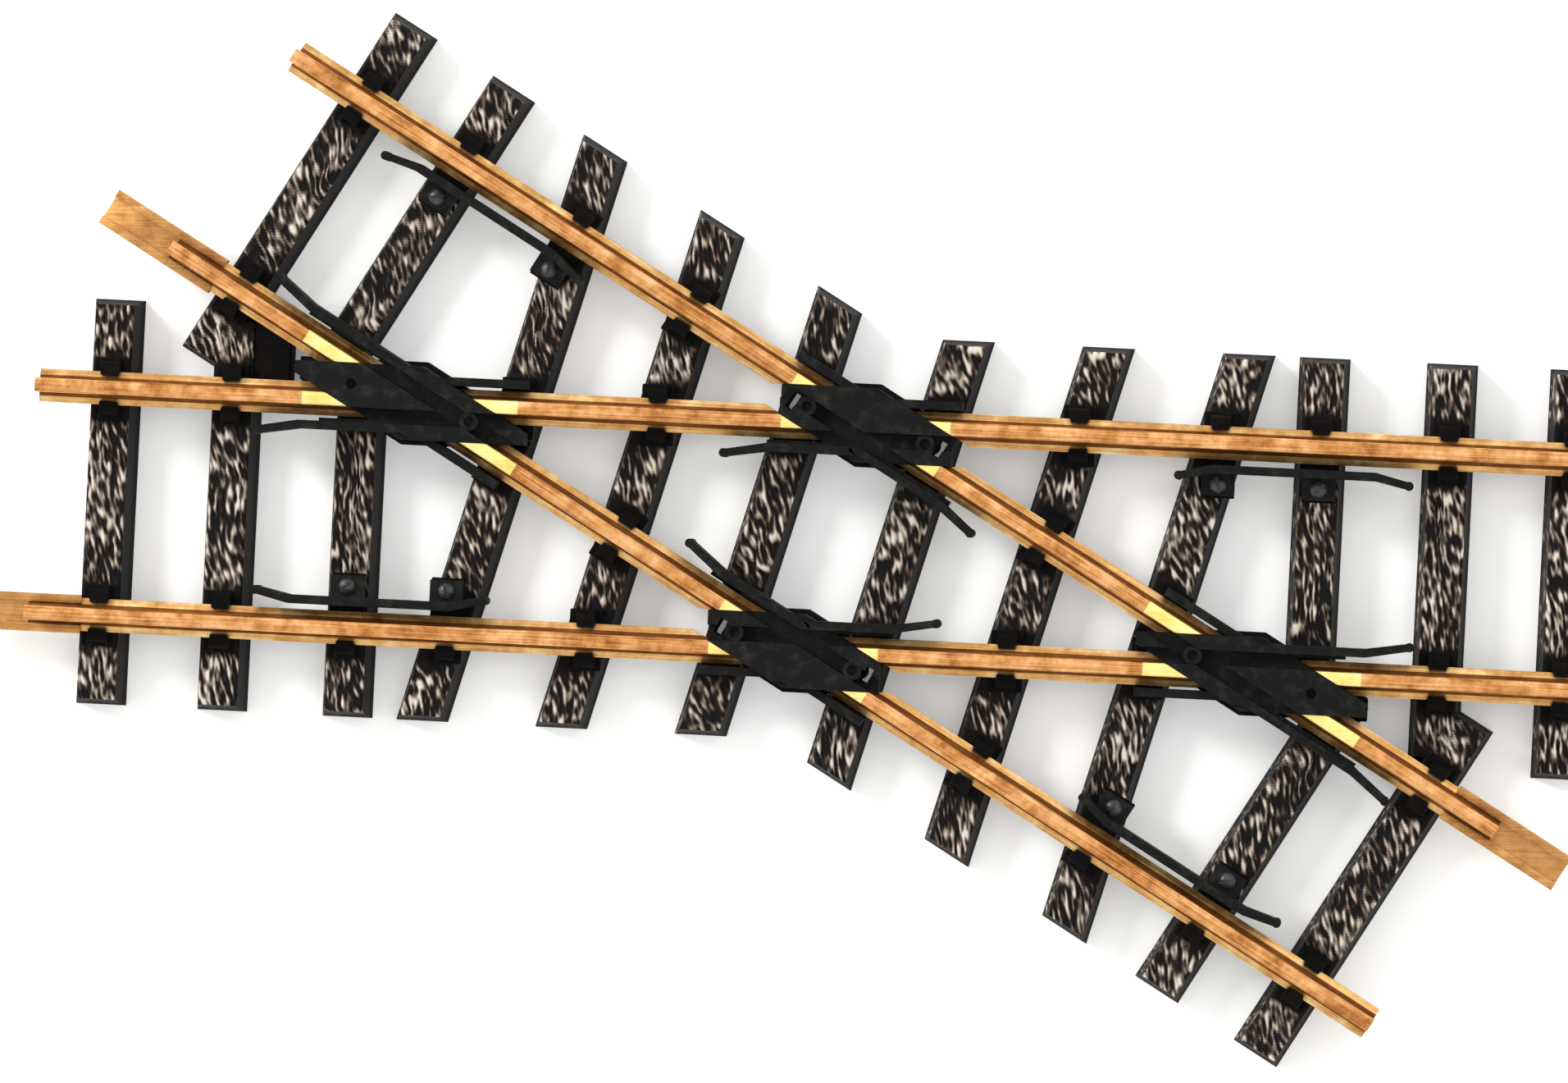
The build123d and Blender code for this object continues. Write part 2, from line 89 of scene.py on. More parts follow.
# ---- working with meshes
def deselectAll():
    for thing in bpy.context.selected_objects:
        thing.select_set(False)


def activate(piece):
    deselectAll()
    piece.select_set(True)
    bpy.context.view_layer.objects.active = piece


def editMode(piece):
    activate(piece)
    bpy.ops.object.mode_set(mode="EDIT")


def objectMode():
    bpy.ops.object.mode_set(mode="OBJECT")


def pick(piece, kind, test):
    # selects the verts, edges or faces that pass a test, while in edit mode
    bpy.ops.mesh.select_mode(type=kind)
    bpy.ops.mesh.select_all(action="DESELECT")
    shape = bmesh.from_edit_mesh(piece.data)
    items = {"VERT": shape.verts, "EDGE": shape.edges, "FACE": shape.faces}[kind]
    for item in items:
        if test(item):
            item.select_set(True)
    shape.select_flush_mode()
    bmesh.update_edit_mesh(piece.data)


def middleOf(item):
    corners = [vert.co for vert in item.verts]
    return sum(corners, Vector()) / len(corners)


def addCube(name, size, centre):
    deselectAll()
    bpy.ops.mesh.primitive_cube_add(size=1, location=[c * mm for c in centre])
    piece = bpy.context.object
    piece.name = name
    piece.scale = [s * mm for s in size]
    settle(piece)
    return piece


def settle(piece):
    # puts the place and size into the mesh, and leaves the object at the origin
    activate(piece)
    bpy.ops.object.transform_apply(location=True, rotation=True, scale=True)


def place(piece, matrix):
    piece.data.transform(matrix)
    piece.data.update()


def planMatrix(line, distance, offset, height=0.0):
    # from along, left and up, to the object's frame
    spot = onTrack(line, distance, offset)
    turn = Matrix.Rotation(-math.radians(trackAngle[line]), 4, "Z")
    return Matrix.Translation(Vector((spot.x, spot.y, height)) * mm) @ turn


def copyOf(piece, name, matrix):
    twin = piece.copy()
    twin.data = piece.data.copy()
    twin.name = name
    bpy.context.scene.collection.objects.link(twin)
    place(twin, matrix)
    return twin


def halfTurn(piece, name):
    return copyOf(piece, name, Matrix.Rotation(math.pi, 4, "Z"))


def addBevel(piece, width, segments=2, angle=35):
    activate(piece)
    bpy.ops.object.modifier_add(type="BEVEL")
    bevel = piece.modifiers[-1]
    bevel.width = width * mm
    bevel.segments = segments
    bevel.limit_method = "ANGLE"
    bevel.angle_limit = math.radians(angle)
    bevel.harden_normals = False
    bpy.ops.object.modifier_apply(modifier=bevel.name)


def combine(piece, other, operation):
    activate(piece)
    bpy.ops.object.modifier_add(type="BOOLEAN")
    cut = piece.modifiers[-1]
    cut.operation = operation
    cut.solver = "EXACT"
    cut.object = other
    bpy.ops.object.modifier_apply(modifier=cut.name)
    bpy.data.objects.remove(other, do_unlink=True)


def tidyMesh(piece):
    editMode(piece)
    bpy.ops.mesh.select_all(action="SELECT")
    bpy.ops.mesh.remove_doubles(threshold=0.00001)
    bpy.ops.mesh.normals_make_consistent(inside=False)
    objectMode()


def smoothEdges(piece, angle=30):
    activate(piece)
    bpy.ops.object.shade_smooth_by_angle(angle=math.radians(angle))


def joinAll(pieces, name):
    deselectAll()
    for piece in pieces:
        piece.select_set(True)
    bpy.context.view_layer.objects.active = pieces[0]
    bpy.ops.object.join()
    pieces[0].name = name
    return pieces[0]


def finishPiece(piece, node, material):
    if material:
        piece.data.materials.clear()
        piece.data.materials.append(material)
    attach(piece, "root")
    for name in [node] if isinstance(node, str) else node:
        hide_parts(name)


# ---- materials
def colour(code):
    # sRGB hex to linear
    channels = [int(code[i : i + 2], 16) / 255 for i in (1, 3, 5)]
    return [c / 12.92 if c <= 0.04045 else ((c + 0.055) / 1.055) ** 2.4 for c in channels] + [1.0]


def newMaterial(name):
    material = bpy.data.materials.new(name)
    material.use_nodes = True
    tree = material.node_tree
    tree.nodes.clear()
    return material, tree


def node(tree, kind, inputs=None, links=None, **settings):
    # one node, its settings, its fixed inputs, and what feeds it
    made = tree.nodes.new(kind)
    for key, value in settings.items():
        setattr(made, key, value)
    for key, value in (inputs or {}).items():
        made.inputs[key].default_value = value
    for key, source in (links or {}).items():
        tree.links.new(source, made.inputs[key])
    return made


def ramp(tree, source, stops):
    made = node(tree, "ShaderNodeValToRGB", links={"Fac": source})
    while len(made.color_ramp.elements) < len(stops):
        made.color_ramp.elements.new(0.5)
    for element, (position, code) in zip(made.color_ramp.elements, stops):
        element.position = position
        element.color = colour(code)
    return made.outputs["Color"]


def cloudNoise(tree, coords, scale, detail, roughness=0.5):
    return node(tree, "ShaderNodeTexNoise", {"Scale": scale, "Detail": detail, "Roughness": roughness},
                {"Vector": coords}).outputs["Fac"]


def spread(tree, source, before, after):
    # carries one range of values over to another
    limits = {"From Min": before[0], "From Max": before[1], "To Min": after[0], "To Max": after[1]}
    return node(tree, "ShaderNodeMapRange", limits, {"Value": source}).outputs["Result"]


def brassMaterial(name, settings):
    # Drawn brass: warm metal with fine lines along the rail and patches of brown oxide.
    material, tree = newMaterial(name)
    coords = node(tree, "ShaderNodeTexCoord").outputs["Object"]
    turned = node(tree, "ShaderNodeMapping", {"Rotation": (0, 0, -math.radians(settings["angle"])),
                                              "Scale": settings["stretch"]},
                  {"Vector": coords}, vector_type="TEXTURE").outputs["Vector"]
    lines = cloudNoise(tree, turned, settings["lineScale"], 4.0, 0.6)
    patches = cloudNoise(tree, coords, settings["patchScale"], 5.0, 0.65)
    blend = node(tree, "ShaderNodeMix", {"Factor": settings["patchShare"]},
                 {"A": lines, "B": patches}).outputs["Result"]
    tint = ramp(tree, blend, settings["tints"])
    rough = spread(tree, patches, (0.3, 0.7), settings["rough"])
    bump = node(tree, "ShaderNodeBump", {"Strength": settings["bump"], "Distance": 0.0001},
                {"Height": lines}).outputs["Normal"]
    shader = node(tree, "ShaderNodeBsdfPrincipled", {"Metallic": 1.0},
                  {"Base Color": tint, "Roughness": rough, "Normal": bump}).outputs["BSDF"]
    node(tree, "ShaderNodeOutputMaterial", links={"Surface": shader})
    return material


# Line scales: draw marks 0.4 mm apart across the rail and 20 mm long; oxide patches about 5 mm across.
brassLook = {
    "angle": 0.0, "stretch": (50.0, 1.0, 1.0), "lineScale": 2500.0, "patchScale": 200.0, "patchShare": 0.55,
    "tints": [(0.30, "#6A3616"), (0.41, "#B0703A"), (0.50, "#D8985A"), (0.58, "#EDB47C"), (0.70, "#FFE3A0")],
    "rough": (0.3, 0.5), "bump": 0.35,
}
railBrassA = brassMaterial("drawn_brass_oxidised_a", brassLook)
railBrassB = brassMaterial("drawn_brass_oxidised_b", {**brassLook, "angle": track["crossingAngle"]})
# Milled brass: the tips planed down beside the frogs, pale and bright because the cut is fresh.
milledLook = {**brassLook, "rough": (0.35, 0.5),
              "tints": [(0.30, "#E9C95E"), (0.5, "#FBE68C"), (0.7, "#FFF4B8")]}
railMilled = brassMaterial("milled_brass_bright", milledLook)
# Brass on the foot's edges: yellower and with less dark brown than the head, a painted highlight on the lit
# foot.
footHighlightLook = {**brassLook, "tints": [(0.30, "#9A6430"), (0.5, "#D6A262"), (0.7, "#FFE8AC")]}
footHighlightBrass = {"a": brassMaterial("brass_foot_painted_highlight_a", footHighlightLook),
             "b": brassMaterial("brass_foot_painted_highlight_b", {**footHighlightLook, "angle": track["crossingAngle"]})}
# Dull brown brass on the web and under the head: painted shade, drawing the dark line of the shadow beside the
# head.
webShadeLook = {**brassLook, "rough": (0.5, 0.7),
           "tints": [(0.30, "#3A1C0C"), (0.5, "#7A4820"), (0.7, "#A87038")]}
webShadeBrass = {"a": brassMaterial("brass_web_painted_shade_a", webShadeLook),
            "b": brassMaterial("brass_web_painted_shade_b", {**webShadeLook, "angle": track["crossingAngle"]})}
# Rolled sheet: tan and even, with faint roller marks and a little brown oxide.
sheetLook = {**brassLook, "rough": (0.32, 0.5),
             "tints": [(0.30, "#8A5A30"), (0.5, "#C08A50"), (0.7, "#E0B070")]}
sheetBrass = brassMaterial("rolled_brass_sheet", sheetLook)


def plasticMaterial(name, settings):
    # Moulded black plastic: almost black, with a fine spark-eroded texture that breaks up its shine.
    material, tree = newMaterial(name)
    coords = node(tree, "ShaderNodeTexCoord").outputs["Object"]
    cloud = cloudNoise(tree, coords, settings["cloudScale"], 5.0, 0.6)
    tint = ramp(tree, cloud, settings["tints"])
    rough = spread(tree, cloud, (0.3, 0.7), settings["rough"])
    grit = cloudNoise(tree, coords, settings["gritScale"], 3.0)
    bump = node(tree, "ShaderNodeBump", {"Strength": settings["bump"], "Distance": 0.0001},
                {"Height": grit}).outputs["Normal"]
    shader = node(tree, "ShaderNodeBsdfPrincipled", {"IOR": 1.5, "Specular IOR Level": settings["shine"]},
                  {"Base Color": tint, "Roughness": rough, "Normal": bump}).outputs["BSDF"]
    node(tree, "ShaderNodeOutputMaterial", links={"Surface": shader})
    return material


# Clouds 2 to 4 mm across and texture grains about 0.5 mm, coarser than the real 0.05 mm so that they show.
frogPlastic = plasticMaterial("black_nylon_moulded", {
    "cloudScale": 330.0, "gritScale": 2000.0, "bump": 0.6, "rough": (0.6, 0.85), "shine": 0.16,
    "tints": [(0.3, "#030303"), (0.5, "#0B0B0A"), (0.72, "#262722")]})
bedPlastic = plasticMaterial("brown_black_plastic_moulded", {
    "cloudScale": 260.0, "gritScale": 1600.0, "bump": 0.6, "rough": (0.7, 0.95), "shine": 0.12,
    "tints": [(0.3, "#020202"), (0.5, "#070605"), (0.72, "#171310")]})
screwSteel = plasticMaterial("blackened_steel_screw", {
    "cloudScale": 500.0, "gritScale": 2500.0, "bump": 0.3, "rough": (0.3, 0.45), "shine": 0.5,
    "tints": [(0.3, "#1C1C1C"), (0.5, "#2E2E2F"), (0.72, "#4E4E50")]})


# Speckles 1.4 mm across, about as wide as two ridges of the grain.
tieLook = {
    "speckleScale": 700.0, "speckleShare": 0.2, "rough": (0.65, 0.85), "bump": 0.4, "shine": 0.15,
    "tints": [(0.18, "#060404"), (0.33, "#1E1713"), (0.48, "#564A40"), (0.64, "#938779"), (0.86, "#D6CDBF")],
}


def tieMaterial():
    # Brown-black plastic moulded as weathered wood: pale ridges over nearly black furrows; the pale is a
    # painted highlight on the ridges and the black is a painted shade in the furrows.
    # The mesh carries how high each point of the grain stands.
    material, tree = newMaterial("plastic_moulded_as_weathered_wood")
    coords = node(tree, "ShaderNodeTexCoord").outputs["Object"]
    height = node(tree, "ShaderNodeAttribute", attribute_name="grain").outputs["Fac"]
    speckle = cloudNoise(tree, coords, tieLook["speckleScale"], 5.0, 0.7)
    # mixes the grain height, whose pale high values are painted highlight, with the speckle
    litRidgesAndSpeckle = node(tree, "ShaderNodeMix", {"Factor": tieLook["speckleShare"]},
                {"A": height, "B": speckle}).outputs["Result"]
    tint = ramp(tree, litRidgesAndSpeckle, tieLook["tints"])
    rough = spread(tree, litRidgesAndSpeckle, (0.2, 0.8), tieLook["rough"])
    bump = node(tree, "ShaderNodeBump", {"Strength": tieLook["bump"], "Distance": 0.0001},
                {"Height": speckle}).outputs["Normal"]
    shader = node(tree, "ShaderNodeBsdfPrincipled", {"IOR": 1.5, "Specular IOR Level": tieLook["shine"]},
                  {"Base Color": tint, "Roughness": rough, "Normal": bump}).outputs["BSDF"]
    node(tree, "ShaderNodeOutputMaterial", links={"Surface": shader})
    return material


tieWood = tieMaterial()
say("materials ready")

# ---- ties
tie = {
    "width": 10.7, "draft": 8.0, "height": 9.0, "half": 43.0, "sharedEnd": 41.0, "innerEnd": 31.0,
    "rim": 2.0, "pocketTop": 6.0, "pocketInset": 0.5,
    "columns": 40, "rowLength": 0.36, "grainDepth": 0.65, "sideDepth": 0.35, "sideBands": 7,
    "leftShare": 0.8, "rightShare": 0.15, "endShare": 0.4,
    "slant": 12.0, "slantFollow": 1.15, "streakWidth": 0.72, "streakLength": 2.9,
    "smoothNear": 5.2, "smoothFar": 8.0, "rounding": 0.6, "rightSeed": 20.0,
}


def grainAt(x, y, seed, slant):
    # how high the wood grain stands, 0 to 1, at a spot of the tie: short slanting ridges round a knot
    knot = Vector((1.5 * math.sin(seed * 5.1), 24 * math.sin(seed * 2.3), 0))
    away = Vector((x - knot.x, (y - knot.y) * 0.45, 0))
    push = 1.5 * away.x / (abs(away.x) + 0.8) * math.exp(-away.length_squared / 8.0)
    wave = 1.3 * noise.noise(Vector((x / 8.0, y / 13.0, seed)))
    turn = math.radians(slant)
    across = x * math.cos(turn) + y * math.sin(turn) + push + wave
    along = y * math.cos(turn) - x * math.sin(turn)
    wide = noise.noise(Vector((across / tie["streakWidth"], along / tie["streakLength"], seed + 11)))
    fine = noise.noise(Vector((across / 0.4, along / 1.7, seed + 31)))
    broad = noise.noise(Vector((x / 4.5, y / 9.0, seed + 71)))
    value = 0.36 + 1.15 * wide + 0.4 * fine + 0.4 * broad
    return min(1.0, max(0.0, value))


def railGap(spot):
    # how far a spot of the plan, in metres, is from the nearest rail
    flat = Vector((spot.x, spot.y, 0)) / mm
    gaps = [abs(abs(flat.dot(heading(angle - 90))) - track["railOffset"]) for angle in trackAngle.values()]
    return min(gaps)


def makeTie(name, angle, distance, topEnd, bottomEnd, seed):
    # one tie lying across a line at an angle; each end is a line of the plan: its angle and offset
    inset = tie["height"] * math.tan(math.radians(tie["draft"]))
    slant = tie["slant"] + tie["slantFollow"] * angle
    slopes = [math.tan(math.radians(angle - end[0])) for end in (topEnd, bottomEnd)]
    along, left = heading(angle), heading(angle - 90)
    ends = []
    for lineAngle, offset in (topEnd, bottomEnd):
        square = heading(lineAngle - 90)
        ends.append((offset - square.dot(along) * distance) / square.dot(left))
    length = ends[0] - ends[1]
    topWidth, topLength = tie["width"] - 2 * inset, length - 2 * inset
    rows = max(8, round(topLength / tie["rowLength"]))
    deselectAll()
    bpy.ops.mesh.primitive_grid_add(x_subdivisions=tie["columns"], y_subdivisions=rows, size=1)
    piece = bpy.context.object
    piece.name = name
    piece.scale = (topWidth * mm, topLength * mm, 1)
    piece.location = (0, 0, tie["height"] * mm)
    settle(piece)
    # the sloping sides are extruded down in bands, each a little wider
    editMode(piece)
    pick(piece, "EDGE", lambda edge: edge.is_boundary)
    for band in range(tie["sideBands"]):
        before = inset * band / tie["sideBands"]
        after = inset * (band + 1) / tie["sideBands"]
        bpy.ops.mesh.extrude_region_move(
            TRANSFORM_OT_translate={"value": (0, 0, -tie["height"] * mm / tie["sideBands"])})
        growX, growY = [(size + 2 * after) / (size + 2 * before) for size in (topWidth, topLength)]
        bpy.ops.transform.resize(value=(growX, growY, 1))
    # the rim underneath, then the hollow
    inner = tie["width"] - 2 * tie["rim"]
    innerLength = length - 2 * tie["rim"]
    bpy.ops.mesh.extrude_region_move(TRANSFORM_OT_translate={"value": (0, 0, 0)})
    bpy.ops.transform.resize(value=(inner / tie["width"], innerLength / length, 1))
    bpy.ops.mesh.extrude_region_move(TRANSFORM_OT_translate={"value": (0, 0, tie["pocketTop"] * mm)})
    shrink = 2 * tie["pocketInset"]
    bpy.ops.transform.resize(value=((inner - shrink) / inner, (innerLength - shrink) / innerLength, 1))
    bpy.ops.mesh.edge_face_add()
    bpy.ops.mesh.normals_make_consistent(inside=False)
    objectMode()
    # the ends follow the tracks, so the tie is sheared to suit when it is carried to its place
    basis = Matrix.Identity(4)
    for column, axis in enumerate((along, left)):
        for row in range(3):
            basis[row][column] = axis[row]
    basis.translation = (along * distance + left * (ends[0] + ends[1]) / 2) * mm
    # the grain runs on over the edges and down the slopes, and is smooth and darkest beside the rails; the
    # right slopes carry painted shade
    grain = piece.data.attributes.new("grain", "FLOAT", "POINT")
    levels = []
    for vert in piece.data.vertices:
        x, y, z = vert.co / mm
        toTop = (y + length / 2) / length
        shear = x * (slopes[0] * toTop + slopes[1] * (1 - toTop)) * mm
        gap = railGap(basis @ Vector((vert.co.x, vert.co.y + shear, 0)))
        plain = min(1.0, max(0.0, (gap - tie["smoothNear"]) / (tie["smoothFar"] - tie["smoothNear"])))
        down = tie["height"] - z
        overX, overY = abs(x) - topWidth / 2, abs(y) - topLength / 2
        stands = 0.1
        if down < 0.01:
            stands = grainAt(x, y, seed, slant) * plain
            rounding = max(0.0, max(overX, overY) + tie["rounding"]) / tie["rounding"]
            vert.co.z -= mm * (tie["grainDepth"] * (1 - stands) + 0.25 * rounding ** 2)
        elif z > 0.05 and (overX > -0.01 or overY > -0.01):
            side, end = (1 if x > 0 else -1), (1 if y > 0 else -1)
            onEnd = overY > -0.01 and overY >= overX
            unfoldedX, unfoldedY = (x, y + end * down) if onEnd else (x + side * down, y)
            # the right slopes keep few pale ridges, a painted shade on the side away from the key light; the
            # left slopes keep most, as the lit side
            share = tie["endShare"] if onEnd else tie["rightShare"] if side > 0 else tie["leftShare"]
            stands = share * grainAt(unfoldedX, unfoldedY, seed, slant) * plain
            push = mm * tie["sideDepth"] * (1 - stands)
            if onEnd:
                vert.co.y -= push * end
            else:
                vert.co.x -= push * side
        vert.co.y += shear
        levels.append(stands)
    grain.data.foreach_set("value", levels)
    place(piece, basis)
    smoothEdges(piece, 50)
    finishPiece(piece, "tie_bed", tieWood)
    return piece


half, cross = tie["half"], track["crossingAngle"]
tiePlan = {
    "a_outer": (0, -tiesA["outer"], (0, half), (0, -half)),
    "a_middle": (0, -tiesA["middle"], (0, tie["sharedEnd"]), (0, -half)),
    "a_inner": (0, -tiesA["inner"], (0, tie["innerEnd"]), (0, -half)),
    "b_outer": (cross, -tiesB["outer"], (cross, half), (cross, -tie["sharedEnd"])),
    "b_inner": (cross, -tiesB["inner"], (cross, half), (cross, -tie["innerEnd"])),
    "cross_outer": (cross / 2, -2.5 * track["crossTiePitch"], (cross, half), (0, -half)),
    "cross_middle": (cross / 2, -1.5 * track["crossTiePitch"], (cross, half), (0, -half)),
    "cross_inner": (cross / 2, -0.5 * track["crossTiePitch"], (cross, half), (0, -half)),
}
for count, (name, (angle, distance, topEnd, bottomEnd)) in enumerate(tiePlan.items()):
    makeTie("tie_left_" + name, angle, distance, topEnd, bottomEnd, 1.0 + count)
    turnedEnds = [(lineAngle, -offset) for lineAngle, offset in (bottomEnd, topEnd)]
    makeTie("tie_right_" + name, angle, -distance, *turnedEnds, tie["rightSeed"] + 1.0 + count)
say("ties ready")

# ---- rails
rail = {
    "height": 8.4, "footEdge": 0.8, "footRoot": 1.7, "webHalf": 0.6, "neck": 5.3, "headLow": 6.2,
    "headBevel": 0.4, "footLine": (1.2, 2.2),
    "tipReach": {"acute": {"a": 22.8, "b": 26.0}, "obtuse": {"a": 17.8, "b": 17.8}}, "tipDrop": 0.3,
}


def railBlank(name, start, end):
    # foot, web and head drawn up from a thin block, lying along X with its seat at zero height
    piece = addCube(name, (end - start, 2 * track["footHalf"], rail["footEdge"]),
                    ((start + end) / 2, 0, rail["footEdge"] / 2))
    editMode(piece)
    pick(piece, "FACE", lambda face: face.normal.z > 0.5)
    steps = [
        (rail["footLine"][0] - rail["footEdge"], rail["footLine"][1] / track["footHalf"]),
        (rail["footRoot"] - rail["footLine"][0], rail["webHalf"] / rail["footLine"][1]),
        (rail["neck"] - rail["footRoot"], 1.0),
        (rail["headLow"] - rail["neck"], track["headHalf"] / rail["webHalf"]),
        (rail["height"] - rail["headLow"], 1.0),
    ]
    for rise, spread in steps:
        bpy.ops.mesh.extrude_region_move(TRANSFORM_OT_translate={"value": (0, 0, rise * mm)})
        bpy.ops.transform.resize(value=(1, spread, 1))
    top = (rail["height"] - 0.01) * mm
    pick(piece, "EDGE", lambda edge: all(v.co.z > top for v in edge.verts)
         and abs(edge.verts[0].co.y - edge.verts[1].co.y) < 1e-6)
    bpy.ops.mesh.bevel(offset=rail["headBevel"] * mm, segments=3, affect="EDGES")
    objectMode()
    return piece


def cutAway(piece, spot, facing, fill=True):
    # keeps what lies on the facing side of a plane
    editMode(piece)
    bpy.ops.mesh.select_all(action="SELECT")
    bpy.ops.mesh.bisect(plane_co=spot, plane_no=facing, use_fill=fill, clear_inner=fill, threshold=1e-7)
    objectMode()


def makeRail(name, line, start, end, frogBefore, frogAfter, material):
    piece = railBlank(name, start, end)
    place(piece, planMatrix(line, 0, track["railOffset"], track["seat"]))
    direction = heading(trackAngle[line])
    other = heading(trackAngle["b" if line == "a" else "a"] - 90)
    if other.dot(direction) < 0:
        other = -other
    zones = []
    for centre, way in ((frogBefore, 1), (frogAfter, -1)):
        if centre is None:
            continue
        facing = other * way
        cutAway(piece, (centre + facing * (track["coreHalf"] + 0.05)) * mm, facing)
        kind = "obtuse" if centre is obtuseCentre else "acute"
        edge = centre + direction * way * rail["tipReach"][kind][line]
        cutAway(piece, edge * mm, direction * way, fill=False)
        zones.append((edge, direction * way))
    # the head is planed down a little beside the frogs, which leaves a bright tip
    headLow = (track["seat"] + rail["neck"]) * mm
    for edge, facing in zones:
        for vert in piece.data.vertices:
            if vert.co.z > (track["railTop"] - 1.0) * mm and (vert.co - edge * mm).dot(facing) < -0.0001:
                vert.co.z -= rail["tipDrop"] * mm
    piece.data.materials.append(material)
    for finish in (railMilled, footHighlightBrass[line], webShadeBrass[line]):
        piece.data.materials.append(finish)
    footTop, lineTop = (track["seat"] + rail["footEdge"]) * mm, (track["seat"] + rail["footLine"][0]) * mm
    headEdge = (track["seat"] + rail["headLow"]) * mm
    for face in piece.data.polygons:
        spot = face.center
        inTip = any((spot - edge * mm).dot(facing) < 0 for edge, facing in zones)
        sawn = abs(face.normal.z) < 0.1 and face.area > 2e-5 and abs(face.normal.dot(direction)) > 0.9
        if (inTip and spot.z > headLow) or sawn:
            face.material_index = 1
        # the foot's sloping top takes the yellow brass of the painted highlight
        elif footTop < spot.z < lineTop:
            face.material_index = 2
        # the web and the underside of the head take the dark brown brass of the painted shade
        elif lineTop < spot.z < headEdge and abs(face.normal.dot(direction)) < 0.3:
            face.material_index = 3
    smoothEdges(piece, 40)
    return piece


railNames = {
    "a": ("rail_a_upper_left", "rail_a_upper_middle", "rail_a_upper_right"),
    "b": ("rail_b_upper_left", "rail_b_upper_middle", "rail_b_upper_right"),
}
twins = {"upper_left": "lower_right", "upper_middle": "lower_middle", "upper_right": "lower_left"}
endA, endB = track["halfLength"]["a"], track["halfLength"]["b"]
stops = {
    "a": [(-endA, None), (frogDistance("a", 1, -1), acuteCentre), (frogDistance("a", 1, 1), obtuseCentre),
          (endA, None)],
    "b": [(-endB, None), (frogDistance("b", 1, 1), obtuseCentre), (frogDistance("b", 1, -1), -acuteCentre),
          (endB, None)],
}
for line, material in (("a", railBrassA), ("b", railBrassB)):
    for index, name in enumerate(railNames[line]):
        (start, before), (end, after) = stops[line][index], stops[line][index + 1]
        piece = makeRail(name + "_brass", line, start, end, before, after, material)
        twinName = name.replace(name[7:], twins[name[7:]])
        twin = halfTurn(piece, twinName + "_brass")
        finishPiece(piece, name, None)
        finishPiece(twin, twinName, None)
say("rails ready")

# ---- frogs and check rails
frog = {
    "acuteHalf": 24.5, "obtuseHalf": 18.2, "blade": 1.8, "wallNear": 4.0, "flareOut": 1.6,
    "flareLength": 10.0, "tipBlade": 1.6, "knobRadius": 0.95, "flareSteps": 5,
    "infillDrop": 0.9, "bandHalf": 6.5, "bandLow": 0.5, "bevel": 0.25, "wallDrop": 2.2,
    "bossPlace": 13.0, "bossRadius": 2.0, "bossDepth": 3.0, "bossRise": 0.35,
    "bossHole": 1.1, "bossHoleDepth": 1.6,
    "acuteGuards": [("a", -1, 33.5, 19.4), ("b", -1, 38.5, 28.4)], "acuteWall": 24.5,
    "obtuseGuards": [("a", -1, 30.5, 20.8), ("b", 1, 31.5, 23.5)], "obtuseWall": 20.0,
    "webHole": (1.6, 3.6), "webHolePlace": (-15.6, 4.3),
}


def addSlab(name, corners, low, high):
    # a flat plate through four corners, pulled up into a block
    deselectAll()
    bpy.ops.mesh.primitive_plane_add(size=1)
    piece = bpy.context.object
    piece.name = name
    for vert, index in zip(piece.data.vertices, (0, 1, 3, 2)):
        vert.co = Vector((corners[index][0], corners[index][1], low)) * mm
    settle(piece)
    editMode(piece)
    bpy.ops.mesh.select_all(action="SELECT")
    bpy.ops.mesh.extrude_region_move(TRANSFORM_OT_translate={"value": (0, 0, (high - low) * mm)})
    bpy.ops.mesh.select_all(action="SELECT")
    bpy.ops.mesh.normals_make_consistent(inside=False)
    objectMode()
    return piece


def rhombus(halfA, halfB):
    # the corners of the area within halfA of line a and within halfB of line b, both through the origin
    turn = math.radians(track["crossingAngle"])
    corners = []
    for a, b in ((-1, -1), (-1, 1), (1, 1), (1, -1)):
        y = a * halfA
        corners.append(((b * halfB - y * math.cos(turn)) / math.sin(turn), y))
    return corners


def addBlade(name, line, way, near, far, side, reach, high, flare, flareLength=0.0):
    # an upright strip beside a rail; a flared one turns away from the rail, thins out and ends in a knob
    bend = reach - flareLength
    corners = [(0, side * near), (way * bend, side * near), (way * bend, side * far), (0, side * far)]
    piece = addSlab(name, corners, 0, high)
    if flare:
        editMode(piece)
        pick(piece, "FACE", lambda face: abs(face.normal.x) > 0.9
             and abs(abs(middleOf(face).x) - bend * mm) < 1e-5)
        steps, wide = frog["flareSteps"], far - near
        thinning = (frog["tipBlade"] / wide) ** (1 / steps)
        run = flareLength - frog["knobRadius"]
        rise = flare / steps
        for step in range(steps):
            bpy.ops.mesh.extrude_region_move(TRANSFORM_OT_translate={"value": (
                way * run / steps * mm, side * rise * mm, 0)})
            bpy.ops.transform.resize(value=(1, thinning, 1))
        objectMode()
        tip = Vector((way * (bend + run), side * ((near + far) / 2 + flare), 0))
        combine(piece, addBoss(tip, 0, high, frog["knobRadius"]), "UNION")
    place(piece, Matrix.Rotation(-math.radians(trackAngle[line]), 4, "Z"))
    return piece


def addBoss(centre, low, high, radius):
    bpy.ops.mesh.primitive_cylinder_add(vertices=40, radius=radius * mm, depth=(high - low) * mm,
                                        location=(centre.x * mm, centre.y * mm, (low + high) / 2 * mm))
    piece = bpy.context.object
    settle(piece)
    return piece


